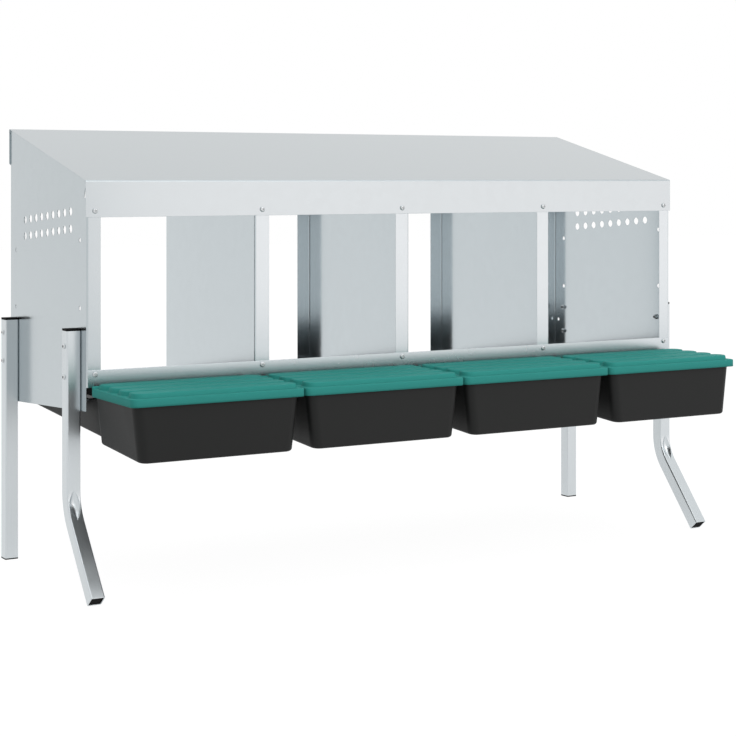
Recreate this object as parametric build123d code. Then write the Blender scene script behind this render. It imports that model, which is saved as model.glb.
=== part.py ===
from build123d import *
import math
import os

# Body sizes in millimetres
bay_widths = (276.0, 280.0, 281.0, 263.0)
body_depth = 340.0
sheet = 0.8
fold_radius = 2.5
ridge_height = 696.0
eave_height = 612.0
panel_low_front = 271.5
panel_low_rear = 252.0

# Roof
fascia_height = 54.5
rear_lip_height = 65.0
lip_corner = 8.0
roof_overhang = 2.0
roof_seat = 0.2

# Flanges of the upright sheets
side_flange = 22.0
divider_flange = 25.0
rear_flange = 25.0
flange_relief = 26.0
relief_depth = 11.0
corner_relief = 8.0

# Rails across the front and the back
rail_top = 332.0
rail_height = 25.5
rail_end_gap = 1.5
sill_top = 291.0
sill_height = 38.0

# Vent holes and spare bolt holes of the side panels
vent_count = 9
vent_diameter = 12.5
vent_pitch = 25.4
vent_row_gap = 26.0
vent_setback = 66.0
vent_drop = 47.0
vent_rise = 4.6
spare_hole = 7.0
spare_front_setback = 28.0
spare_front_heights = (523.0, 422.0)
spare_rear_heights = (499.0, 407.0)
edge_hole = 6.0
edge_hole_gap = 11.0
edge_hole_height = 341.5

# Legs
leg_tube = 22.0
leg_wall = 1.5
leg_corner = 2.5
front_leg_top = 392.0
rear_leg_top = 389.5
front_leg_setback = 34.0
rear_leg_inset = 28.0
leg_bend_angle = 40.0
leg_bend_radius = 75.0
foot_reach = 57.0
crimp_length = 45.0
crimp_radius = 9.4
crimp_depth = 5.0
cap_thickness = 3.0
rear_plug_rim = 2.0
plug_length = 16.0
plug_recess = 1.0
plug_clearance = 0.15

# Leg bolts with washers and nuts
hex_sides = 6
bolt_heights = (366.0, 320.5)
bolt_diameter = 4.0
bolt_clearance = 0.2
bolt_head_diameter = 7.6
bolt_head_height = 2.2
bolt_socket_width = 3.0
bolt_socket_depth = 1.4
head_rounding = 0.7
bolt_tail = 1.5
washer_diameter = 9.0
washer_thickness = 0.8
nut_width = 7.0
nut_height = 3.2
thread_clearance = 0.05

# Sheet screws
screw_diameter = 4.0
screw_clearance = 0.2
screw_head_diameter = 8.0
screw_head_height = 2.6
screw_recess_length = 4.4
screw_recess_width = 1.0
screw_recess_depth = 1.3
screw_tail = 7.0
screw_setback = 12.8
fascia_screw_rise = 9.5
rail_screw_drop = 6.3
lip_screw_rise = 12.0
sill_screw_drop = 12.0

# Lids
lid_reach = 170.0
lid_gap = 1.5
lid_overhang = 4.0
lid_back_gap = 5.0
lid_plate = 3.5
lid_seat = 0.3
lid_skirt_depth = 8.0
lid_skirt = 2.5
lid_corner = 10.0
lid_rear_corner = 17.0
lid_chamfer = 0.9
rib_count = 4
rib_width = 33.0
rib_groove = 4.0
rib_height = 6.8
rib_end_gap = 6.0
rib_front_gap = 8.0
rib_corner = 15.0
rib_draft = 12.0
rib_edge = 1.5
rib_wall = 2.5

# Trays
trough_rim = 303.0
pan_rim = 291.0
tray_wall = 2.5
tray_floor = 3.0
side_draft = 6.5
front_draft = 0.5
tray_slope = 3.8
trough_low = 225.5
pan_low = 232.0
trough_back_gap = 9.0
trough_corner = 14.0
trough_edge = 4.5
rim_gap = 1.2
rim_lip = 2.0
rim_thickness = 3.0
pan_side_gap = 15.0
pan_rear_gap = 20.0
pan_corner = 14.0
pan_edge = 5.0
pan_lip_gap = 4.0
pan_lip_thickness = 2.5
pan_lip_front_gap = 3.0
pan_rear_lip = 6.0

# Runners under the tray rims
runner_reach = 12.0
runner_height = 16.0
runner_end_gap = 6.0
runner_seat = 0.3

# Lid hinges
hinge_setback = 13.0
hinge_rise = 2.0
pin_diameter = 4.0
pin_clearance = 0.05
lug_gap = 0.6
lug_width = 7.0
lug_radius = 5.0
lug_depth = 12.0
knuckle_length = 14.0
pin_end_gap = 5.5
pin_end_clearance = 0.3
notch_clearance = 1.5

# Worked-out places: x from the middle, y from the middle of the overall depth, z from the floor
body_width = sum(bay_widths)
left_x = -body_width / 2
right_x = body_width / 2
bay_lines = [left_x + sum(bay_widths[:n]) for n in range(len(bay_widths) + 1)]
flange_turns = (1, 1, -1, -1, -1)
front_flanges = (side_flange, divider_flange, divider_flange, divider_flange, side_flange)
front_y = (lid_reach - body_depth - sheet - screw_head_height) / 2
rear_y = front_y + body_depth
rail_low = rail_top - rail_height
sill_low = sill_top - sill_height
fascia_low = eave_height - fascia_height
lip_low = ridge_height - rear_lip_height
flange_top = eave_height - flange_relief
roof_slope = (ridge_height - eave_height) / (body_depth + 2 * sheet)
roof_drop = sheet * math.hypot(1, roof_slope) + roof_seat
screw_hole = screw_diameter + 2 * screw_clearance
bolt_hole = bolt_diameter + 2 * bolt_clearance
fascia_screw_z = fascia_low + fascia_screw_rise
rail_screw_z = rail_top - rail_screw_drop
lip_screw_z = lip_low + lip_screw_rise
sill_screw_z = sill_top - sill_screw_drop
lid_low = trough_rim + lid_seat
lid_top = lid_low + lid_plate
pin_bore = pin_diameter + 2 * pin_clearance
hinge_y = front_y - hinge_setback
hinge_z = trough_rim + hinge_rise
tray_tilt = math.tan(math.radians(tray_slope))
bay_count = len(bay_widths)
rear_leg_setback = body_depth - rear_leg_inset
leg_setbacks = (front_leg_setback, rear_leg_setback)
leg_lows = (left_x - leg_tube, right_x)
leg_outer_faces = ((left_x - leg_tube, -1), (right_x + leg_tube, 1))
bend = math.radians(leg_bend_angle)
foot_along = (-math.sin(bend), -math.cos(bend))
foot_end = (front_y - foot_reach - math.cos(bend) * leg_tube / 2, math.sin(bend) * leg_tube / 2)
knee_y = front_y + front_leg_setback
knee_z = foot_end[1] + (knee_y - foot_end[0]) / math.tan(bend)
leg_tops = (front_leg_top, rear_leg_top)
spare_setbacks = (spare_front_setback, rear_leg_setback)
on_base = (Align.CENTER, Align.CENTER, Align.MIN)
under_base = (Align.CENTER, Align.CENTER, Align.MAX)


def web_faces(line):
    """Lower and upper x of the upright sheet on one bay line."""
    x = bay_lines[line]
    return sorted((x, x + flange_turns[line] * sheet))


def bay_faces(bay):
    """Inner x faces of the two sheets beside one bay."""
    return web_faces(bay)[1], web_faces(bay + 1)[0]


def lid_ends(bay):
    """Lower and upper x of the lid over one bay; the last one stands out past the body."""
    low, high = (sum(web_faces(line)) / 2 for line in (bay, bay + 1))
    last = bay == bay_count - 1
    return low + lid_gap / 2, right_x + lid_overhang if last else high - lid_gap / 2


def screw_x(line):
    """X of the screws through the flanges on one bay line."""
    return bay_lines[line] + flange_turns[line] * screw_setback


def roof_under(y):
    """Height of a sheet's top edge under the sloping roof."""
    return eave_height + roof_slope * (y - front_y + sheet) - roof_drop


def prism_yz(points, x_low, x_high):
    """Solid with an outline in y and z between two x planes."""
    outline = make_face(Polyline(*points, close=True))
    return extrude(Plane.YZ.offset(x_low) * outline, amount=x_high - x_low)


def prism_xz(points, y_low, y_high):
    """Solid with an outline in x and z between two y planes."""
    outline = make_face(Polyline(*points, close=True))
    return extrude(Plane.XZ.offset(-y_high) * outline, amount=y_high - y_low)


def block(low, high):
    """Box between two corners."""
    size = [b - a for a, b in zip(low, high)]
    return Pos(*low) * Box(*size, align=(Align.MIN, Align.MIN, Align.MIN))


def rod_x(x_low, x_high, y, z, diameter):
    """Round bar along x."""
    bar = Cylinder(diameter / 2, x_high - x_low, align=on_base)
    return Pos(x_low, y, z) * Rot(0, 90, 0) * bar


def rod_y(x, y_low, y_high, z, diameter):
    """Round bar along y."""
    bar = Cylinder(diameter / 2, y_high - y_low, align=on_base)
    return Pos(x, y_low, z) * Rot(-90, 0, 0) * bar


def folded_strip(points):
    """Closed section of a folded sheet, to the right of its outer line."""
    outer = FilletPolyline(*points, radius=fold_radius)
    return make_face(offset(outer, amount=sheet, side=Side.RIGHT))


def save(name, shape):
    """Write one node."""
    solids = shape if isinstance(shape, list) else [shape]
    solids = [solid for item in solids for solid in item.solids()]
    whole = solids[0] if len(solids) == 1 else Compound(children=solids)
    export_step(whole, f"parts/{name}.step")


# Roof: one sheet folded down in front and behind
def roof():
    outline = folded_strip([
        (front_y - sheet, fascia_low),
        (front_y - sheet, eave_height),
        (rear_y + sheet, ridge_height),
        (rear_y + sheet, lip_low),
    ])
    x_low = left_x - roof_overhang
    x_high = right_x + roof_overhang
    panel = extrude(Plane.YZ.offset(x_low) * outline, amount=x_high - x_low)
    for end, inward in ((x_low, lip_corner), (x_high, -lip_corner)):
        corner = [(end, lip_low), (end + inward, lip_low), (end, lip_low + lip_corner)]
        panel -= prism_xz(corner, rear_y, rear_y + 2 * sheet)
    for line in range(bay_count + 1):
        panel -= rod_y(screw_x(line), front_y - 2 * sheet, front_y + sheet, fascia_screw_z, screw_hole)
        panel -= rod_y(screw_x(line), rear_y - sheet, rear_y + 2 * sheet, lip_screw_z, screw_hole)
    return panel


# Upright sheets: folded in plan, then trimmed to the side outline
def upright(line):
    x = bay_lines[line]
    turn = flange_turns[line]
    front = front_flanges[line]
    section = folded_strip([(front, front_y), (0, front_y), (0, rear_y), (rear_flange, rear_y)])
    panel = extrude(section, amount=ridge_height)
    outline = prism_yz([
        (front_y, panel_low_front),
        (front_y, roof_under(front_y) - corner_relief),
        (front_y + corner_relief, roof_under(front_y + corner_relief)),
        (rear_y - corner_relief, roof_under(rear_y - corner_relief)),
        (rear_y, roof_under(rear_y) - corner_relief),
        (rear_y, panel_low_rear),
    ], 0, max(front, rear_flange))
    panel = panel & outline
    edge_y = front_y + fold_radius
    panel -= prism_yz([
        (front_y, flange_top),
        (front_y + relief_depth, flange_top),
        (edge_y, eave_height),
        (front_y, eave_height),
    ], 0, front)
    panel -= block((0, front_y, 0), (front, edge_y, rail_low))
    for z in (fascia_screw_z, rail_screw_z):
        panel -= rod_y(screw_setback, front_y - sheet, front_y + 2 * sheet, z, screw_hole)
    for z in (lip_screw_z, sill_screw_z):
        panel -= rod_y(screw_setback, rear_y - 2 * sheet, rear_y + sheet, z, screw_hole)
    if turn < 0:
        panel = mirror(panel, about=Plane.YZ)
    return Pos(x, 0, 0) * panel


def side_panel(line):
    panel = upright(line)
    x_low = bay_lines[line] - 2 * sheet
    x_high = bay_lines[line] + 2 * sheet
    rise = math.radians(vent_rise)
    for n in range(vent_count):
        y = front_y + vent_setback + n * vent_pitch * math.cos(rise)
        z = eave_height - vent_drop - n * vent_pitch * math.sin(rise)
        panel -= rod_x(x_low, x_high, y, z, vent_diameter)
        panel -= rod_x(x_low, x_high, y, z - vent_row_gap, vent_diameter)
    for setback, spare_heights in zip(spare_setbacks, (spare_front_heights, spare_rear_heights)):
        for z in spare_heights:
            panel -= rod_x(x_low, x_high, front_y + setback, z, spare_hole)
    for setback in leg_setbacks:
        for z in bolt_heights:
            panel -= rod_x(x_low, x_high, front_y + setback, z, bolt_hole)
    panel -= rod_x(x_low, x_high, rear_y - edge_hole_gap, edge_hole_height, edge_hole)
    return panel


# Rails: flat strips screwed over the flanges
def cross_strip(y_low, y_high, z_low, z_high, screw_z):
    strip = block((left_x + rail_end_gap, y_low, z_low), (right_x - rail_end_gap, y_high, z_high))
    for line in range(bay_count + 1):
        strip -= rod_y(screw_x(line), y_low - sheet, y_high + sheet, screw_z, screw_hole)
    return strip


# Screws: domed head and plain shank, one at each upright
def screw(x, y, z, turn):
    head = Cylinder(screw_head_diameter / 2, screw_head_height, align=on_base)
    head = fillet(head.edges().sort_by(Axis.Z)[-1], screw_head_height * head_rounding)
    for size in ((screw_recess_length, screw_recess_width), (screw_recess_width, screw_recess_length)):
        head -= Pos(0, 0, screw_head_height) * Box(*size, 2 * screw_recess_depth)
    shank_length = 2 * sheet + screw_tail
    shank = Cylinder(screw_diameter / 2, shank_length, align=under_base)
    return Pos(x, y, z) * Rot(turn, 0, 0) * (head + shank)


def screw_row(y, z, turn):
    return [screw(screw_x(line), y, z, turn) for line in range(bay_count + 1)]


# Legs: square tubes beside the side panels
def tube_section(clearance):
    size = leg_tube - 2 * clearance
    return RectangleRounded(size, size, leg_corner - clearance)


def leg_bolt_holes(x_low, y):
    return [rod_x(x_low - sheet, x_low + leg_tube + sheet, y, z, bolt_hole) for z in bolt_heights]


def rear_leg(x_low):
    y = front_y + rear_leg_setback
    length = rear_leg_top - cap_thickness - rear_plug_rim
    place = Pos(x_low + leg_tube / 2, y, rear_plug_rim)
    tube = place * extrude(tube_section(0) - tube_section(leg_wall), amount=length)
    for hole in leg_bolt_holes(x_low, y):
        tube -= hole
    return tube


def crimp_tool(x, y, z, growth):
    """Spindle that presses a boat-shaped dent into the inside of the bend."""
    half = crimp_length / 2 + growth
    bow = Spline((0, -half), (crimp_radius + growth, 0), (0, half))
    section = make_face([bow, Line((0, half), (0, -half))])
    return Pos(x, y, z) * Rot(-leg_bend_angle / 2, 0, 0) * revolve(Plane.XZ * section, axis=Axis.Z)


def front_leg(x_low):
    x = x_low + leg_tube / 2
    top = (x, knee_y, front_leg_top - cap_thickness)
    path = FilletPolyline(top, (x, knee_y, knee_z), (x, *foot_end), radius=leg_bend_radius)
    start = Plane(origin=top, x_dir=(1, 0, 0), z_dir=(0, 0, -1))
    inset = leg_bend_radius * (1 / math.cos(bend / 2) - 1)
    crimp = inset + leg_tube / 2 + crimp_radius - crimp_depth
    crimp_y = knee_y - crimp * math.cos(bend / 2)
    crimp_z = knee_z + crimp * math.sin(bend / 2)
    outside = sweep(start * tube_section(0), path=path)
    hollow = sweep(start * tube_section(leg_wall), path=path)
    outside -= crimp_tool(x, crimp_y, crimp_z, 0)
    hollow -= crimp_tool(x, crimp_y, crimp_z, leg_wall)
    tube = outside - hollow
    for hole in leg_bolt_holes(x_low, knee_y):
        tube -= hole
    return tube


def tube_plug():
    """Plug that hangs down from z = 0 inside a tube."""
    return extrude(tube_section(leg_wall + plug_clearance), amount=-plug_length)


def tube_cap(rim):
    """Cap lying on z = 0, with its plug pointing down."""
    return extrude(tube_section(0), amount=rim) + tube_plug()


def leg_top_cap_set():
    caps = []
    for x_low in leg_lows:
        for setback, top in zip(leg_setbacks, leg_tops):
            place = Pos(x_low + leg_tube / 2, front_y + setback, top - cap_thickness)
            caps.append(place * tube_cap(cap_thickness))
    return caps


def rear_plug_set():
    y = front_y + rear_leg_setback
    return [Pos(x_low + leg_tube / 2, y, rear_plug_rim) * Rot(180, 0, 0) * tube_cap(rear_plug_rim)
            for x_low in leg_lows]


def front_plug_set():
    sunk = [place - step * plug_recess for place, step in zip(foot_end, foot_along)]
    return [Plane(origin=(x_low + leg_tube / 2, *sunk), x_dir=(1, 0, 0), z_dir=(0, *foot_along)) * tube_plug()
            for x_low in leg_lows]


# Leg bolts run from outside through tube, panel, washer and nut
def bolt_places():
    for outer_x, side in leg_outer_faces:
        for setback in leg_setbacks:
            for z in bolt_heights:
                yield Pos(outer_x, front_y + setback, z) * Rot(0, 90 * side, 0)


def leg_bolt():
    head = Cylinder(bolt_head_diameter / 2, bolt_head_height, align=on_base)
    head = fillet(head.edges().sort_by(Axis.Z)[-1], bolt_head_height * head_rounding)
    socket = RegularPolygon(bolt_socket_width / 2, hex_sides, major_radius=False)
    head -= extrude(Pos(0, 0, bolt_head_height) * socket, amount=-bolt_socket_depth)
    length = leg_tube + sheet + washer_thickness + nut_height + bolt_tail
    shank = Cylinder(bolt_diameter / 2, length, align=under_base)
    return head + shank


def leg_washer():
    top = -leg_tube - sheet
    ring = Circle(washer_diameter / 2) - Circle(bolt_diameter / 2 + bolt_clearance)
    return extrude(Pos(0, 0, top) * ring, amount=-washer_thickness)


def leg_nut():
    top = -leg_tube - sheet - washer_thickness
    bore = Circle(bolt_diameter / 2 + thread_clearance)
    ring = RegularPolygon(nut_width / 2, hex_sides, major_radius=False) - bore
    return extrude(Pos(0, 0, top) * ring, amount=-nut_height)


# Runners: angle strips welded to the bay walls
def runner(bay, side):
    faces = bay_faces(bay)
    top = pan_rim - pan_lip_thickness - runner_seat
    wall_x = faces[0] if side > 0 else faces[1]
    points = [(0, top - runner_height), (0, top), (runner_reach, top)]
    angle = extrude(Plane.XZ * folded_strip(points), amount=-(body_depth - 2 * runner_end_gap))
    if side < 0:
        angle = mirror(angle, about=Plane.YZ)
    return Pos(wall_x, front_y + runner_end_gap, 0) * angle


# Trays: sloped nest pan behind, deeper egg trough in front
def tub(x_low, x_high, y_low, y_high, rim, corner, low, edge):
    """Drafted tub filled solid from its rim down to a sloping floor, at height low in the front plane."""
    floor_rear = low + (y_high - front_y) * tray_tilt
    floor_front = low + (y_low - front_y) * tray_tilt
    side = (rim - floor_front) * math.tan(math.radians(side_draft))
    lean = (rim - floor_front) * math.tan(math.radians(front_draft))
    ends = prism_xz([
        (x_low, rim), (x_high, rim), (x_high - side, floor_front), (x_low + side, floor_front),
    ], y_low, y_high)
    sides = prism_yz([
        (y_low, rim), (y_high, rim), (y_high, floor_rear), (y_low + lean, floor_front),
    ], x_low, x_high)
    solid = ends & sides
    uprights = solid.edges().filter_by_position(Axis.Z, floor_rear, rim, inclusive=(False, False))
    solid = fillet(uprights, corner)
    floor = solid.faces().sort_by(Axis.Z)[0]
    return fillet(floor.edges(), edge) if edge else solid


def tray(bay):
    lid_low_x, lid_high_x = lid_ends(bay)
    face_low, face_high = bay_faces(bay)
    inset = lid_skirt + rim_gap
    rim_low, rim_high = lid_low_x + inset, lid_high_x - inset
    rim_front = front_y - lid_reach + inset
    back = front_y - trough_back_gap
    wall_low, wall_high, wall_front = rim_low + rim_lip, rim_high - rim_lip, rim_front + rim_lip
    pan_low_x, pan_high_x = face_low + pan_side_gap, face_high - pan_side_gap
    pan_rear = rear_y - pan_rear_gap
    pan_front = back - 2 * trough_corner
    inner_low, inner_high = pan_low_x + tray_wall, pan_high_x - tray_wall

    body = tub(wall_low, wall_high, wall_front, back, trough_rim, trough_corner, trough_low, trough_edge)
    body += tub(pan_low_x, pan_high_x, pan_front, pan_rear, pan_rim, pan_corner, pan_low, pan_edge)
    lip_middle = ((rim_low + rim_high) / 2, (rim_front + back) / 2, trough_rim)
    lip_outline = RectangleRounded(rim_high - rim_low, back - rim_front, trough_corner)
    body += extrude(Pos(*lip_middle) * lip_outline, amount=-rim_thickness)
    body += block(
        (face_low + pan_lip_gap, front_y + pan_lip_front_gap, pan_rim - pan_lip_thickness),
        (face_high - pan_lip_gap, pan_rear + pan_rear_lip, pan_rim))
    lug_reach = knuckle_length + lug_gap
    swing = hinge_setback - lid_back_gap + notch_clearance
    for lug_low, relief_low in (
            (lid_low_x + lug_reach, lid_low_x),
            (lid_high_x - lug_reach - lug_width, lid_high_x - lug_reach)):
        body += block((lug_low, hinge_y - lug_radius, trough_rim - lug_depth),
                      (lug_low + lug_width, hinge_y + lug_radius, hinge_z))
        body += rod_x(lug_low, lug_low + lug_width, hinge_y, hinge_z, 2 * lug_radius)
        body -= rod_x(lug_low - lug_gap, lug_low + lug_width + lug_gap, hinge_y, hinge_z, pin_bore)
        body -= block((relief_low, hinge_y - lug_radius - notch_clearance, hinge_z - swing),
                      (relief_low + lug_reach, front_y, hinge_z + lug_radius))

    body -= tub(wall_low + tray_wall, wall_high - tray_wall, wall_front + tray_wall, back - tray_wall,
                trough_rim, trough_corner - tray_wall, trough_low + tray_floor, trough_edge - tray_wall)
    body -= tub(inner_low, inner_high, pan_front, pan_rear - tray_wall,
                pan_rim, pan_corner - tray_wall, pan_low + tray_floor, 0)
    lug_inner = lug_reach + lug_width
    body -= block((lid_low_x + lug_inner, pan_front, pan_rim - pan_lip_thickness),
                  (lid_high_x - lug_inner, back, trough_rim))
    return body


def hinge_pins(bay):
    lid_low_x, lid_high_x = lid_ends(bay)
    length = knuckle_length + lug_gap + lug_width - pin_end_gap
    lows = (lid_low_x + pin_end_gap, lid_high_x - pin_end_gap - length)
    return [rod_x(low, low + length, hinge_y, hinge_z, pin_diameter) for low in lows]


# Lids: skirted plates with hollow lengthwise ribs
def rib(x_low, x_high, y, z, height, width, corner, edge):
    outline = RectangleRounded(x_high - x_low, width, corner)
    pad = extrude(Pos((x_low + x_high) / 2, y, z) * outline, amount=height, taper=rib_draft)
    return fillet(pad.faces().sort_by(Axis.Z)[-1].edges(), edge) if edge else pad


def lid_outline(low, high):
    """Block with the lid's four rounded corners."""
    solid = block(low, high)
    for place, radius in ((0, lid_corner), (-1, lid_rear_corner)):
        solid = fillet(solid.edges().filter_by(Axis.Z).group_by(Axis.Y)[place], radius)
    return solid


def lid(bay):
    x_low, x_high = lid_ends(bay)
    y_low, y_high = front_y - lid_reach, front_y - lid_back_gap
    skirt_low = lid_low - lid_skirt_depth
    body = lid_outline((x_low, y_low, skirt_low), (x_high, y_high, lid_top))
    body = chamfer(body.faces().sort_by(Axis.Z)[-1].edges().group_by(Axis.Y)[0], lid_chamfer)
    cavity = block((x_low + lid_skirt, y_low + lid_skirt, skirt_low), (x_high - lid_skirt, y_high, lid_low))
    body -= fillet(cavity.edges().filter_by(Axis.Z).group_by(Axis.Y)[0], lid_corner - lid_skirt)
    rib_y = y_low + rib_front_gap + rib_width / 2
    rib_low, rib_high = x_low + rib_end_gap, x_high - rib_end_gap
    for n in range(rib_count):
        y = rib_y + n * (rib_width + rib_groove)
        body += rib(rib_low, rib_high, y, lid_top, rib_height, rib_width, rib_corner, rib_edge)
    for n in range(rib_count):
        y = rib_y + n * (rib_width + rib_groove)
        pocket = rib_height + lid_plate - rib_wall
        body -= rib(rib_low + rib_wall, rib_high - rib_wall, y, lid_low, pocket,
                    rib_width - 2 * rib_wall, rib_corner - rib_wall, 0)

    around = lid_outline((x_low, y_low, skirt_low), (x_high, y_high, hinge_z + lug_radius))
    notch = lug_width + 2 * lug_gap
    notch_y = hinge_y - lug_radius - notch_clearance
    bore_gap = pin_end_gap - pin_end_clearance
    for knuckle_low, notch_low, bore_low in (
            (x_low, x_low + knuckle_length, x_low + bore_gap),
            (x_high - knuckle_length, x_high - knuckle_length - notch, x_high - knuckle_length - lug_gap)):
        body -= block((notch_low, notch_y, skirt_low), (notch_low + notch, y_high, lid_top + rib_height))
        body += rod_x(knuckle_low, knuckle_low + knuckle_length, hinge_y, hinge_z, 2 * lug_radius) & around
        bore_high = bore_low + knuckle_length + lug_gap - bore_gap
        body -= rod_x(bore_low, bore_high, hinge_y, hinge_z, pin_bore)
    return body


# Write every node
os.makedirs("parts", exist_ok=True)
save("roof_panel", roof())
save("left_side_panel", side_panel(0))
save("right_side_panel", side_panel(bay_count))
for number in range(1, bay_count):
    save(f"divider_{number}", upright(number))

save("front_rail", cross_strip(front_y - sheet, front_y, rail_low, rail_top, rail_screw_z))
save("rear_sill", cross_strip(rear_y, rear_y + sheet, sill_low, sill_top, sill_screw_z))
save("fascia_screws", screw_row(front_y - sheet, fascia_screw_z, 90))
save("rail_screws", screw_row(front_y - sheet, rail_screw_z, 90))
save("rear_lip_screws", screw_row(rear_y + sheet, lip_screw_z, -90))
save("sill_screws", screw_row(rear_y + sheet, sill_screw_z, -90))

for side_name, leg_x in zip(("left", "right"), leg_lows):
    save(f"front_{side_name}_leg", front_leg(leg_x))
    save(f"rear_{side_name}_leg", rear_leg(leg_x))
save("leg_top_caps", leg_top_cap_set())
save("front_foot_plugs", front_plug_set())
save("rear_foot_plugs", rear_plug_set())
save("leg_bolts", [place * leg_bolt() for place in bolt_places()])
save("leg_washers", [place * leg_washer() for place in bolt_places()])
save("leg_nuts", [place * leg_nut() for place in bolt_places()])

for bay in range(bay_count):
    save(f"tray_runner_{bay + 1}_left", runner(bay, 1))
    save(f"tray_runner_{bay + 1}_right", runner(bay, -1))
    save(f"tray_{bay + 1}", tray(bay))
    save(f"hinge_pins_{bay + 1}", hinge_pins(bay))
    save(f"lid_{bay + 1}", lid(bay))
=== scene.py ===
"""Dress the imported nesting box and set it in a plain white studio."""

import logging
import math
from abc import ABC, abstractmethod
from dataclasses import dataclass, field
from enum import Enum

import bpy
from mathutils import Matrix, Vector


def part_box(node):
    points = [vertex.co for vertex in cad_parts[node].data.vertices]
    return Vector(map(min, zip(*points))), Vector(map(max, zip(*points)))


LOG = logging.getLogger("nesting_box")
BAYS = 4
EDGE_SAMPLES = 4

Socket = bpy.types.NodeSocket
Triple = tuple[float, float, float]
Span = tuple[float, float]

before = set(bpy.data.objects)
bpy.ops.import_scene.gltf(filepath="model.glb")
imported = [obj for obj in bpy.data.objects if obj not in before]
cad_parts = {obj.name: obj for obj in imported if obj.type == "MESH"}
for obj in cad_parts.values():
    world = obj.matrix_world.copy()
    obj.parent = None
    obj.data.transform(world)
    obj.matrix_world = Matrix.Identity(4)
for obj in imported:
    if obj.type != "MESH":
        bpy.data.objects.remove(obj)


class Side(Enum):
    """Side of the box, seen from the front."""

    LEFT = "left"
    RIGHT = "right"


class Grain(Enum):
    """Direction in which a drawn surface is streaked."""

    X = (1.0, 30.0, 30.0)
    Z = (30.0, 30.0, 1.0)


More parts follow.
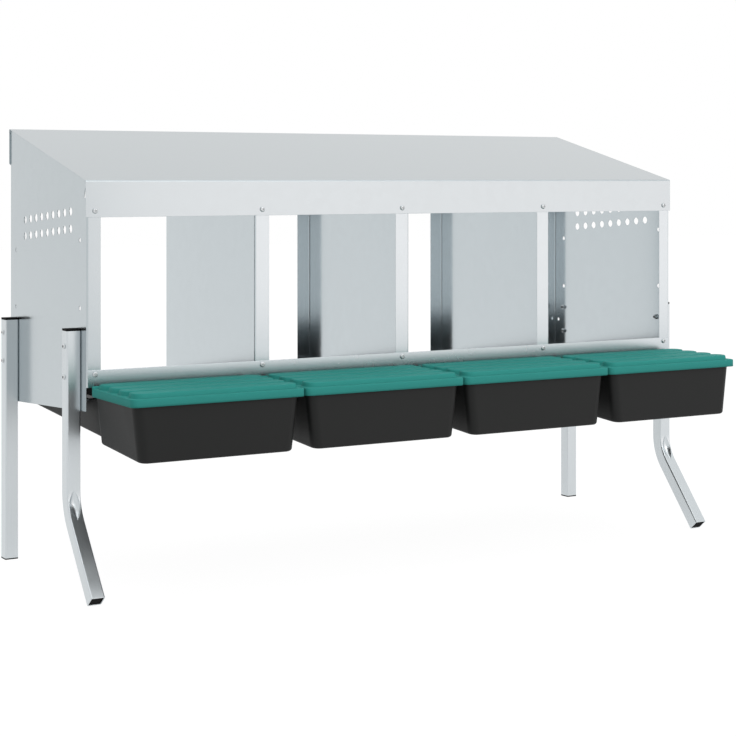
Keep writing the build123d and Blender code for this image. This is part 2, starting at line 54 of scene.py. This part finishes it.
class Graph:
    """Small helper that adds and links shader nodes of one tree."""

    # How far a face looks up where a level fold begins and where it ends
    FOLD_START = (0.03, 0.12)
    FOLD_END = (0.93, 0.965)

    def __init__(self, tree: bpy.types.NodeTree) -> None:
        """Start from an empty tree."""
        self.tree = tree
        self.tree.nodes.clear()

    def add(self, kind: str, inputs: dict[str | int, object] | None = None,
            **settings: object) -> bpy.types.Node:
        """Add one node.

        Args:
            kind: Blender's node type name.
            inputs: Socket name or number to a value, or to the output socket that feeds it.
            **settings: Plain attributes of the node.

        Returns:
            The new node.
        """
        node = self.tree.nodes.new(kind)
        for name, value in settings.items():
            setattr(node, name, value)
        for name, value in (inputs or {}).items():
            if isinstance(value, Socket):
                self.tree.links.new(value, node.inputs[name])
            else:
                node.inputs[name].default_value = value
        return node

    def feed(self, shader: bpy.types.Node, **sockets: Socket) -> None:
        """Link sockets to a shader's inputs.

        Args:
            shader: The shader node.
            **sockets: Input name, with underscores for spaces, to the socket that feeds it.
        """
        for name, socket in sockets.items():
            self.tree.links.new(socket, shader.inputs[name.replace("_", " ")])

    def number(self, operation: str, *values: Socket | float) -> Socket:
        """Return the result of one operation on numbers."""
        inputs = dict(enumerate(values))
        return self.add("ShaderNodeMath", inputs, operation=operation).outputs["Value"]

    def vector(self, operation: str, *values: Socket | Vector | Triple) -> Socket:
        """Return the result of one operation on vectors."""
        inputs = dict(enumerate(values))
        return self.add("ShaderNodeVectorMath", inputs, operation=operation).outputs["Vector"]

    def length(self, vector: Socket) -> Socket:
        """Return a vector's length."""
        return self.add("ShaderNodeVectorMath", {0: vector}, operation="LENGTH").outputs["Value"]

    def along(self, vector: Socket, axis: str) -> Socket:
        """Return one coordinate of a vector."""
        return self.add("ShaderNodeSeparateXYZ", {"Vector": vector}).outputs[axis]

    def mapped(self, value: Socket, low: float, high: float, start: float = 0.0,
               end: float = 1.0) -> Socket:
        """Map a value from start and end to low and high, and hold it there.

        Args:
            value: Socket with the value.
            low: Result at the start.
            high: Result at the end.
            start: Value that gives the low result.
            end: Value that gives the high result.

        Returns:
            The output socket.
        """
        inputs = {
            "Value": value,
            "From Min": start,
            "From Max": end,
            "To Min": low,
            "To Max": high,
        }
        return self.add("ShaderNodeMapRange", inputs).outputs["Result"]

    def scale(self, vector: Socket, factor: Socket) -> Socket:
        """Multiply a colour or vector by a factor."""
        inputs = {0: vector, "Scale": factor}
        return self.add("ShaderNodeVectorMath", inputs, operation="SCALE").outputs["Vector"]

    def tint(self, factor: Socket, first: Triple, second: Triple) -> Socket:
        """Mix two colours by a factor.

        Args:
            factor: Socket with the factor.
            first: Linear colour at 0.
            second: Linear colour at 1.

        Returns:
            The colour socket.
        """
        node = self.add("ShaderNodeMix", data_type="RGBA")
        self.tree.links.new(factor, node.inputs["Factor"])
        node.inputs["A"].default_value = (*first, 1.0)
        node.inputs["B"].default_value = (*second, 1.0)
        return node.outputs["Result"]

    def noise(self, place: Socket, scale: float, detail: float, distortion: float = 0.0) -> Socket:
        """Return soft noise.

        Args:
            place: Socket with the coordinates.
            scale: Patches to the unit.
            detail: Number of finer layers.
            distortion: How far the patches are drawn out of shape.

        Returns:
            The output socket, from 0 to 1.
        """
        inputs = {"Vector": place, "Scale": scale, "Detail": detail, "Distortion": distortion}
        return self.add("ShaderNodeTexNoise", inputs).outputs["Fac"]

    def rounded(self, radius: float) -> Socket:
        """Return a normal that rounds the edges."""
        inputs = {"Radius": radius}
        return self.add("ShaderNodeBevel", inputs, samples=EDGE_SAMPLES).outputs["Normal"]

    def bumped(self, height: Socket, depth: float, relief: float, normal: Socket) -> Socket:
        """Return a normal that is turned by a relief.

        Args:
            height: Socket with the relief's height, from 0 to 1.
            depth: Depth of the relief in metres.
            relief: Strength of its effect.
            normal: Socket with the normal that is turned.

        Returns:
            The normal socket.
        """
        inputs = {"Height": height, "Distance": depth, "Strength": relief, "Normal": normal}
        return self.add("ShaderNodeBump", inputs).outputs["Normal"]

    def rise(self) -> Socket:
        """Return how far a face looks up, 1 for straight up."""
        return self.along(self.add("ShaderNodeNewGeometry").outputs["Normal"], "Z")

    def bends(self) -> Socket:
        """Return 1 on level folds, between upright faces and the slope above them.

        Returns:
            The output socket, 0 away from the folds.
        """
        rise = self.rise()
        above = self.mapped(rise, 0.0, 1.0, *self.FOLD_START)
        below = self.mapped(rise, 1.0, 0.0, *self.FOLD_END)
        return self.number("MULTIPLY", above, below)


def scaled(colour: Triple, factor: float) -> Triple:
    """Return a colour made lighter or darker."""
    return tuple(min(1.0, channel * factor) for channel in colour)


def grey(level: float) -> tuple[float, float, float, float]:
    """Return an opaque grey."""
    return (level, level, level, 1.0)


@dataclass(frozen=True)
class Finish(ABC):
    """A surface finish that can be turned into a material.

    Attributes:
        name: Name of the material.
        colour: Linear base colour.
        roughness: Lowest and highest roughness over the surface.
    """

    name: str
    colour: Triple
    roughness: Span

    @abstractmethod
    def paint(self, graph: Graph, shader: bpy.types.Node, place: Socket) -> None:
        """Wire the finish's own nodes to the shader.

        Args:
            graph: Helper for the material's tree.
            shader: The principled shader.
            place: Socket with the object coordinates in metres.
        """

    def material(self) -> bpy.types.Material:
        """Build the material.

        Returns:
            The finished material.
        """
        material = bpy.data.materials.new(self.name)
        material.use_nodes = True
        graph = Graph(material.node_tree)
        place = graph.add("ShaderNodeTexCoord").outputs["Object"]
        shader = graph.add("ShaderNodeBsdfPrincipled")
        graph.add("ShaderNodeOutputMaterial", {"Surface": shader.outputs["BSDF"]})
        self.paint(graph, shader, place)
        material.diffuse_color = (*self.colour, 1.0)
        return material


@dataclass(frozen=True)
class Galvanised(Finish):
    """Bright hot-dip galvanised sheet with a faint spangle.

    Attributes:
        metallic: Share of the surface that mirrors as bare metal.
        spangle: Spangles to the metre.
        blotches: Larger blotches to the metre.
        contrast: How far the spangles differ in brightness.
        waves: Slow waves to the metre.
        wave: Depth in metres of these waves.
        edge: Radius in metres of its rounded cut edges.
        top_shade: How much painted shade darkens the faces that look up.
        cracks: How much rougher the cracked zinc is on level folds.
    """

    metallic: float = 1.0
    spangle: float = 75.0
    blotches: float = 7.0
    contrast: float = 0.02
    waves: float = 5.0
    wave: float = 0.00004
    edge: float = 0.0006
    top_shade: float = 0.0
    cracks: float = 0.0

    def paint(self, graph: Graph, shader: bpy.types.Node, place: Socket) -> None:
        """Wire spangle, blotches, painted shade on faces that look up, dull folds, waviness and
        rounded edges.

        Args:
            graph: Helper for the material's tree.
            shader: The principled shader.
            place: Socket with the object coordinates in metres.
        """
        cells = graph.add("ShaderNodeTexVoronoi", {"Vector": place, "Scale": self.spangle},
                          feature="F1").outputs["Color"]
        spangle = graph.add("ShaderNodeSeparateColor", {"Color": cells}).outputs["Red"]
        blotch = graph.noise(place, self.blotches, detail=4.0)
        mean = graph.number("MULTIPLY", graph.number("ADD", spangle, blotch), 0.5)
        colour = graph.tint(mean, scaled(self.colour, 1 - self.contrast),
                            scaled(self.colour, 1 + self.contrast))
        # Painted shade: faces that look up are darkened.
        if self.top_shade:
            colour = graph.scale(colour, graph.mapped(graph.rise(), 1.0, 1.0 - self.top_shade))
        rough = graph.mapped(mean, *self.roughness)
        if self.cracks:
            rough = graph.number("MULTIPLY_ADD", graph.bends(), self.cracks, rough)
        shader.inputs["Metallic"].default_value = self.metallic
        graph.feed(shader, Base_Color=self.with_painted_light(graph, place, colour), Roughness=rough,
                   Normal=self.facing(graph, place))

    def with_painted_light(self, graph: Graph, place: Socket, colour: Socket) -> Socket:
        """Return the colour with any painted light or shade, here none."""
        return colour

    def facing(self, graph: Graph, place: Socket) -> Socket:
        """Return the normal of a slightly wavy sheet with rounded cut edges."""
        slow = graph.noise(place, self.waves, detail=1.0)
        return graph.bumped(slow, self.wave, relief=1.0, normal=graph.rounded(self.edge))


@dataclass(frozen=True)
class FlangedSheet(Galvanised):
    """Upright galvanised sheet with painted shade on its front flange and painted light on its rear
    flange.

    Attributes:
        front: Depth in metres of the front flange's outer face.
        rear: Depth in metres of the rear flange's outer face.
        fold: Depth in metres over which the tone changes.
        front_shade: Brightness of the front flange, a painted shade.
        rear_light: Brightness of the rear flange, painted light.
    """

    front: float = -0.0867
    rear: float = 0.2533
    fold: float = 0.002
    front_shade: float = 1.0
    rear_light: float = 1.0

    def with_painted_light(self, graph: Graph, place: Socket, colour: Socket) -> Socket:
        """Paint shade on the front flange and light on the rear flange.

        Args:
            graph: Helper for the material's tree.
            place: Socket with the object coordinates in metres.
            colour: Colour of the sheet.

        Returns:
            The colour socket.
        """
        # Painted shade on the front flange, painted light on the rear flange.
        depth = graph.along(place, "Y")
        near = graph.mapped(depth, self.front_shade, 1.0, self.front + self.fold,
                            self.front + 2 * self.fold)
        far = graph.mapped(depth, 1.0, self.rear_light, self.rear - 2 * self.fold,
                           self.rear - self.fold)
        return graph.scale(graph.scale(colour, near), far)


@dataclass(frozen=True)
class CrownedStrip(Galvanised):
    """Galvanised strip that rolling has left with a slight crown.

    Attributes:
        middle: Height in metres of the strip's middle line.
        reach: Half its height in metres.
        tilt: Tangent of the crown's slope at its edges.
    """

    middle: float = 0.0
    reach: float = 1.0
    tilt: float = 0.0

    def facing(self, graph: Graph, place: Socket) -> Socket:
        """Turn the sheet's normal up above the middle line and down below it.

        Args:
            graph: Helper for the material's tree.
            place: Socket with the object coordinates in metres.

        Returns:
            The normal socket.
        """
        flat = super().facing(graph, place)
        slope = graph.mapped(graph.along(place, "Z"), -self.tilt, self.tilt,
                             self.middle - self.reach, self.middle + self.reach)
        upward = graph.add("ShaderNodeCombineXYZ", {"Z": slope}).outputs["Vector"]
        return graph.vector("NORMALIZE", graph.vector("ADD", flat, upward))


@dataclass(frozen=True)
class DrawnZinc(Finish):
    """Zinc-plated drawn tube or hardware with fine streaks along it.

    Attributes:
        grain: Direction of the streaks.
        streaks: Streaks to the metre across the grain.
        metallic: Share of the surface that mirrors as bare metal.
        blotches: Blotches of the plating to the metre.
        tones: Brightness of the darkest and of the lightest streaks.
        edge: Radius in metres of its rounded edges.
        depth: Depth in metres of the streaks.
        relief: Strength of their relief.
    """

    grain: Grain = Grain.Z
    streaks: float = 18.0
    metallic: float = 1.0
    blotches: float = 22.0
    tones: Span = (0.96, 1.03)
    edge: float = 0.0005
    depth: float = 0.00004
    relief: float = 0.6

    def paint(self, graph: Graph, shader: bpy.types.Node, place: Socket) -> None:
        """Wire streaks, plating blotches and rounded edges.

        Args:
            graph: Helper for the material's tree.
            shader: The principled shader.
            place: Socket with the object coordinates in metres.
        """
        stretched = graph.add("ShaderNodeMapping", {"Vector": place, "Scale": self.grain.value})
        lines = graph.noise(stretched.outputs["Vector"], self.streaks, detail=6.0)
        blotch = graph.noise(place, self.blotches, detail=3.0)
        unshaded = graph.tint(lines, *(scaled(self.colour, tone) for tone in self.tones))
        shader.inputs["Metallic"].default_value = self.metallic
        graph.feed(shader, Base_Color=self.with_painted_shade(graph, place, unshaded),
                   Roughness=graph.mapped(blotch, *self.roughness),
                   Normal=graph.bumped(lines, self.depth, self.relief, graph.rounded(self.edge)))

    def with_painted_shade(self, graph: Graph, place: Socket, unshaded: Socket) -> Socket:
        """Return the colour with any painted shade, here none."""
        return unshaded


@dataclass(frozen=True)
class SocketBolt(DrawnZinc):
    """Plated bolts along X with painted shade in their sockets, in two rows and two columns on each
    side.

    Attributes:
        node: CAD node with the bolts.
        head: Radius in metres of a bolt head.
        socket: Radius in metres of the shaded middle.
        core: Share of that radius that is fully shaded.
        painted_shade: Brightness of the painted shade in the sockets.
    """

    node: str = "leg_bolts"
    head: float = 0.0038
    socket: float = 0.0024
    core: float = 0.7
    painted_shade: float = 0.12

    def with_painted_shade(self, graph: Graph, place: Socket, unshaded: Socket) -> Socket:
        """Darken the middle of each head with painted shade.

        Args:
            graph: Helper for the material's tree.
            place: Socket with the object coordinates in metres.
            unshaded: Colour of the plating before the painted shade.

        Returns:
            The colour socket.
        """
        low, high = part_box(self.node)
        middle = (low + high) / 2
        reach = (high - low) / 2 - Vector((self.head,) * 3)
        folded = graph.vector("ABSOLUTE", graph.vector("SUBTRACT", place, middle))
        local = graph.vector("SUBTRACT", folded, reach)
        radius = graph.length(graph.vector("MULTIPLY", local, (0, 1, 1)))
        # Painted shade in the sockets: the middle of each head is darkened.
        share = graph.mapped(radius, self.painted_shade, 1.0, self.core * self.socket, self.socket)
        return graph.scale(unshaded, share)


@dataclass(frozen=True)
class MouldedPlastic(Finish):
    """Injection-moulded plastic with a fine spark-eroded grain.

    Attributes:
        grain: Grains to the metre.
        depth: Depth in metres of the grain.
        relief: Strength of its relief.
        specular: Specular level of the surface.
        flow: Flow marks to the metre.
        swirl: How far the flow marks are drawn out of shape.
        variation: How far the colour drifts over the piece.
        edge: Radius in metres of its rounded edges.
        painted_shade: How much darker its lower edge is painted, as shade.
        shade_heights: Heights in metres of the lower edge and of the first unshaded line above it.
    """

    grain: float = 900.0
    depth: float = 0.00005
    relief: float = 0.5
    specular: float = 0.4
    flow: float = 11.0
    swirl: float = 0.8
    variation: float = 0.06
    edge: float = 0.0008
    painted_shade: float = 0.0
    shade_heights: Span = (0.0, 1.0)

    def paint(self, graph: Graph, shader: bpy.types.Node, place: Socket) -> None:
        """Wire grain, flow marks, painted shade at the lower edge and rounded edges.

        Args:
            graph: Helper for the material's tree.
            shader: The principled shader.
            place: Socket with the object coordinates in metres.
        """
        fine = graph.noise(place, self.grain, detail=2.0)
        flow = graph.noise(place, self.flow, detail=3.0, distortion=self.swirl)
        colour = graph.tint(flow, scaled(self.colour, 1 - self.variation),
                            scaled(self.colour, 1 + self.variation))
        # Painted shade: darker toward the lower edge.
        if self.painted_shade:
            height = graph.along(place, "Z")
            colour = graph.scale(colour, graph.mapped(height, 1.0 - self.painted_shade, 1.0, *self.shade_heights))
        shader.inputs["Specular IOR Level"].default_value = self.specular
        graph.feed(shader, Base_Color=colour, Roughness=graph.mapped(flow, *self.roughness),
                   Normal=graph.bumped(fine, self.depth, self.relief, graph.rounded(self.edge)))


# The sheet's faces that look up are darkened as painted shade.
SHEET = Galvanised("galvanised_sheet", (0.475, 0.520, 0.540), (0.15, 0.20), top_shade=0.11, cracks=0.33)
# A paler copy of the same galvanised sheet for the dividers and right panel, painted light in the
# shaded bays.
INNER_SHEET_PAINTED_LIGHT = FlangedSheet("galvanised_inner_sheet_painted_light", (0.56, 0.61, 0.634), (0.14, 0.18),
                           metallic=0.93, front_shade=0.94, rear_light=1.13)
RAIL = CrownedStrip("galvanised_rail", (0.50, 0.55, 0.575), (0.268, 0.276), contrast=0.005,
                    wave=0.000004, middle=0.3193, reach=0.0128, tilt=0.045)
RUNNER = Galvanised("galvanised_runner", (0.48, 0.53, 0.55), (0.24, 0.32))
TUBE = DrawnZinc("zinc_tube", (0.60, 0.64, 0.66), (0.26, 0.34), metallic=0.95)
# The bolt sockets get painted shade.
BOLT = SocketBolt("zinc_bolt", (0.58, 0.60, 0.61), (0.22, 0.32), Grain.X, streaks=40.0)
SCREW = DrawnZinc("zinc_screw", (0.58, 0.60, 0.61), (0.42, 0.50), Grain.X, streaks=40.0)
HARDWARE = DrawnZinc("zinc_hardware", (0.50, 0.53, 0.55), (0.20, 0.30), Grain.X, streaks=40.0)
PIN = DrawnZinc("bright_pin", (0.50, 0.51, 0.53), (0.2, 0.3), Grain.X, streaks=60.0)
TRAY_BLACK = MouldedPlastic("tray_black", (0.0085, 0.0092, 0.0090), (0.48, 0.58), specular=0.24)
CAP_BLACK = MouldedPlastic("cap_black", (0.0035, 0.0035, 0.0038), (0.62, 0.72), specular=0.06)
# The lids get painted shade toward their lower edge.
LID_GREEN = MouldedPlastic("lid_green", (0.030, 0.290, 0.257), (0.66, 0.76), specular=0.2,
                           variation=0.04, edge=0.005, painted_shade=0.24, shade_heights=(0.2953, 0.3068))


class SubAssembly(ABC):
    """A group of CAD nodes that is built and dressed together."""

    @abstractmethod
    def finishes(self) -> dict[str, Finish]:
        """Return the finish of each node of this group.

        Returns:
            Node name to finish.
        """

    def build(self) -> dict[str, bpy.types.Mesh]:
        """Return the meshes of the group's nodes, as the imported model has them."""
        return {node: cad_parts[node].data for node in self.finishes()}

    def dress(self, meshes: dict[str, bpy.types.Mesh],
              materials: dict[str, bpy.types.Material]) -> None:
        """Give each mesh its material.

        Args:
            meshes: Node name to mesh.
            materials: Finish name to material, filled as finishes are first used.
        """
        for node, finish in self.finishes().items():
            if finish.name not in materials:
                materials[finish.name] = finish.material()
            slots = meshes[node].materials
            slots.clear()
            slots.append(materials[finish.name])
            LOG.info("%s gets %s", node, finish.name)


@dataclass
class Housing(SubAssembly):
    """Folded sheets of the body.

    Attributes:
        bays: Number of bays, with a divider between each two.
    """

    bays: int = BAYS

    def finishes(self) -> dict[str, Finish]:
        """Return bright sheet for the body, a paler copy inside as painted light, a crowned rail
        and duller runners.

        Returns:
            Node name to finish.
        """
        outer = ["roof_panel", "left_side_panel", "rear_sill"]
        inner = ["right_side_panel"] + [f"divider_{n}" for n in range(1, self.bays)]
        numbers = range(1, self.bays + 1)
        runners = [f"tray_runner_{n}_{side.value}" for n in numbers for side in Side]
        coats = ((outer, SHEET), (("front_rail",), RAIL), (inner, INNER_SHEET_PAINTED_LIGHT), (runners, RUNNER))
        return {name: finish for names, finish in coats for name in names}


@dataclass
class Legs(SubAssembly):
    """Tube legs with their plastic ends.

    Attributes:
        ends: Nodes of the plastic ends.
    """

    ends: tuple[str, ...] = ("leg_top_caps", "front_foot_plugs", "rear_foot_plugs")

    def finishes(self) -> dict[str, Finish]:
        """Return zinc for the tubes and black for their ends."""
        tubes = {f"{end}_{side.value}_leg": TUBE for end in ("front", "rear") for side in Side}
        return tubes | {name: CAP_BLACK for name in self.ends}


@dataclass
class EggTray(SubAssembly):
    """One slide-out tray with its hinged lid.

    Attributes:
        number: Bay number, from the left.
    """

    number: int

    def finishes(self) -> dict[str, Finish]:
        """Return the finishes of tray, lid and pins."""
        return {
            f"tray_{self.number}": TRAY_BLACK,
            f"lid_{self.number}": LID_GREEN,
            f"hinge_pins_{self.number}": PIN,
        }


@dataclass
class Fasteners(SubAssembly):
    """Screws, bolts, washers and nuts.

    Attributes:
        screws: Nodes of sheet screws.
        hidden: Nodes of hardware inside the panels.
    """

    screws: tuple[str, ...] = ("fascia_screws", "rail_screws", "rear_lip_screws", "sill_screws")
    hidden: tuple[str, ...] = ("leg_washers", "leg_nuts")

    def finishes(self) -> dict[str, Finish]:
        """Return plated bolts, screws and hardware."""
        coats = (((BOLT.node,), BOLT), (self.screws, SCREW), (self.hidden, HARDWARE))
        return {name: finish for names, finish in coats for name in names}


@dataclass(frozen=True)
class Softbox:
    """One large rectangular lamp.

    Attributes:
        name: Name of the lamp.
        place: Position in metres.
        target: Point that it faces.
        size: Width and height in metres.
        power: Power in watts.
        colour: Linear colour of its light.
    """

    name: str
    place: Triple
    target: Triple
    size: Span
    power: float
    colour: Triple = (1.0, 1.0, 1.0)

    def build(self) -> None:
        """Add the lamp to the scene."""
        lamp = bpy.data.lights.new(self.name, "AREA")
        lamp.shape = "RECTANGLE"
        lamp.size, lamp.size_y = self.size
        lamp.energy = self.power
        lamp.color = self.colour
        holder = bpy.data.objects.new(self.name, lamp)
        holder.location = self.place
        aim = Vector(self.target) - Vector(self.place)
        holder.rotation_euler = aim.to_track_quat("-Z", "Y").to_euler()
        holder.visible_camera = False
        bpy.context.scene.collection.objects.link(holder)


KEY = Softbox("key", place=(0.95, -4.05, 2.9), target=(0.0, 0.0, 0.4), size=(3.0, 3.2), power=64.0)
LOW_FRONT = Softbox("low_front", place=(2.3, -3.5, 0.75), target=(0.0, 0.0, 0.5), size=(3.0, 1.5),
                    power=7.9, colour=(1.0, 0.84, 0.80))
TOP = Softbox("top", place=(0.0, 0.2, 3.4), target=(0.0, 0.0, 0.5), size=(4.4, 4.4), power=36.0)


@dataclass
class Studio:
    """White floor and surroundings, soft lamps and the photograph's camera.

    Attributes:
        camera_place: Camera position in metres.
        camera_pitch: Tilt of the camera from straight down, in degrees; 90 is level.
        camera_yaw: Turn of the camera from straight ahead, in degrees, to the right.
        sensor: Width of the sensor in millimetres.
        lens: Focal length in millimetres.
        shift: Vertical shift of the frame.
        floor_size: Edge length of the floor in metres.
        floor_pale: How much light the floor throws back at the object.
        floor_veil: How much of the lamps' light, and so of the shadow, is seen on the floor.
        floor_glow: Brightness of the floor where it is seen.
        ambient: Strength of the light from all around.
        lamps: The softboxes.
    """

    camera_place: Triple = (-1.506, -2.5487, 0.6151)
    camera_pitch: float = 90.0
    camera_yaw: float = 30.237
    sensor: float = 36.0
    lens: float = 86.73
    shift: float = -0.2578
    floor_size: float = 24.0
    floor_pale: float = 0.82
    floor_veil: float = 0.12
    floor_glow: float = 0.95
    ambient: float = 0.55
    lamps: list[Softbox] = field(default_factory=lambda: [KEY, LOW_FRONT, TOP])

    def seen(self, graph: Graph) -> Socket:
        """Return 1 for rays that show the background as such.

        Args:
            graph: Tree that the light path is read in.

        Returns:
            Socket that is 1 for camera, glossy and transmission rays.
        """
        path = graph.add("ShaderNodeLightPath").outputs
        direct = graph.number("MAXIMUM", path["Is Camera Ray"], path["Is Glossy Ray"])
        return graph.number("MAXIMUM", direct, path["Is Transmission Ray"])

    def surround(self) -> None:
        """Fill the world: white where it is seen, softer where it lights."""
        world = bpy.data.worlds.new("studio")
        world.use_nodes = True
        bpy.context.scene.world = world
        graph = Graph(world.node_tree)
        light, white = (
            graph.add("ShaderNodeBackground", {"Color": grey(1.0), "Strength": strength})
            for strength in (self.ambient, 1.0)
        )
        mix = graph.add("ShaderNodeMixShader", {0: self.seen(graph), 1: light.outputs["Background"],
                                                2: white.outputs["Background"]})
        graph.add("ShaderNodeOutputWorld", {"Surface": mix.outputs["Shader"]})

    def floor_material(self) -> bpy.types.Material:
        """Make the floor's material, pale by itself and nearly white where it is seen.

        Returns:
            The material.
        """
        material = bpy.data.materials.new("studio_floor")
        material.use_nodes = True
        graph = Graph(material.node_tree)
        pale, veil = (
            graph.add("ShaderNodeBsdfDiffuse", {"Color": grey(level)})
            for level in (self.floor_pale, self.floor_veil)
        )
        glow = graph.add("ShaderNodeEmission", {"Color": grey(1.0), "Strength": self.floor_glow})
        white = graph.add("ShaderNodeAddShader", {0: veil.outputs["BSDF"],
                                                  1: glow.outputs["Emission"]})
        mix = graph.add("ShaderNodeMixShader", {0: self.seen(graph), 1: pale.outputs["BSDF"],
                                                2: white.outputs["Shader"]})
        graph.add("ShaderNodeOutputMaterial", {"Surface": mix.outputs["Shader"]})
        return material

    def floor(self) -> None:
        """Lay the floor."""
        half = self.floor_size / 2
        corners = [(-half, -half, 0), (half, -half, 0), (half, half, 0), (-half, half, 0)]
        mesh = bpy.data.meshes.new("floor")
        mesh.from_pydata(corners, [], [(0, 1, 2, 3)])
        mesh.materials.append(self.floor_material())
        floor = bpy.data.objects.new("floor", mesh)
        bpy.context.scene.collection.objects.link(floor)

    def camera(self) -> None:
        """Set the camera where the photograph was taken."""
        data = bpy.data.cameras.new("camera")
        data.sensor_width = self.sensor
        data.lens = self.lens
        data.shift_y = self.shift
        holder = bpy.data.objects.new("camera", data)
        holder.location = self.camera_place
        turn = (self.camera_pitch, 0.0, -self.camera_yaw)
        holder.rotation_euler = [math.radians(angle) for angle in turn]
        bpy.context.scene.collection.objects.link(holder)
        bpy.context.scene.camera = holder

    def build(self) -> None:
        """Build floor, surroundings, lamps and camera."""
        self.surround()
        self.floor()
        for lamp in self.lamps:
            lamp.build()
        self.camera()


def main() -> None:
    """Build and dress the whole scene."""
    logging.basicConfig(level=logging.INFO)
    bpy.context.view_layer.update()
    bpy.context.scene.view_settings.view_transform = "Standard"
    materials: dict[str, bpy.types.Material] = {}
    trays = [EggTray(number) for number in range(1, BAYS + 1)]
    for group in (Housing(), Legs(), *trays, Fasteners()):
        group.dress(group.build(), materials)
    Studio().build()


if __name__ == "__main__":
    main()
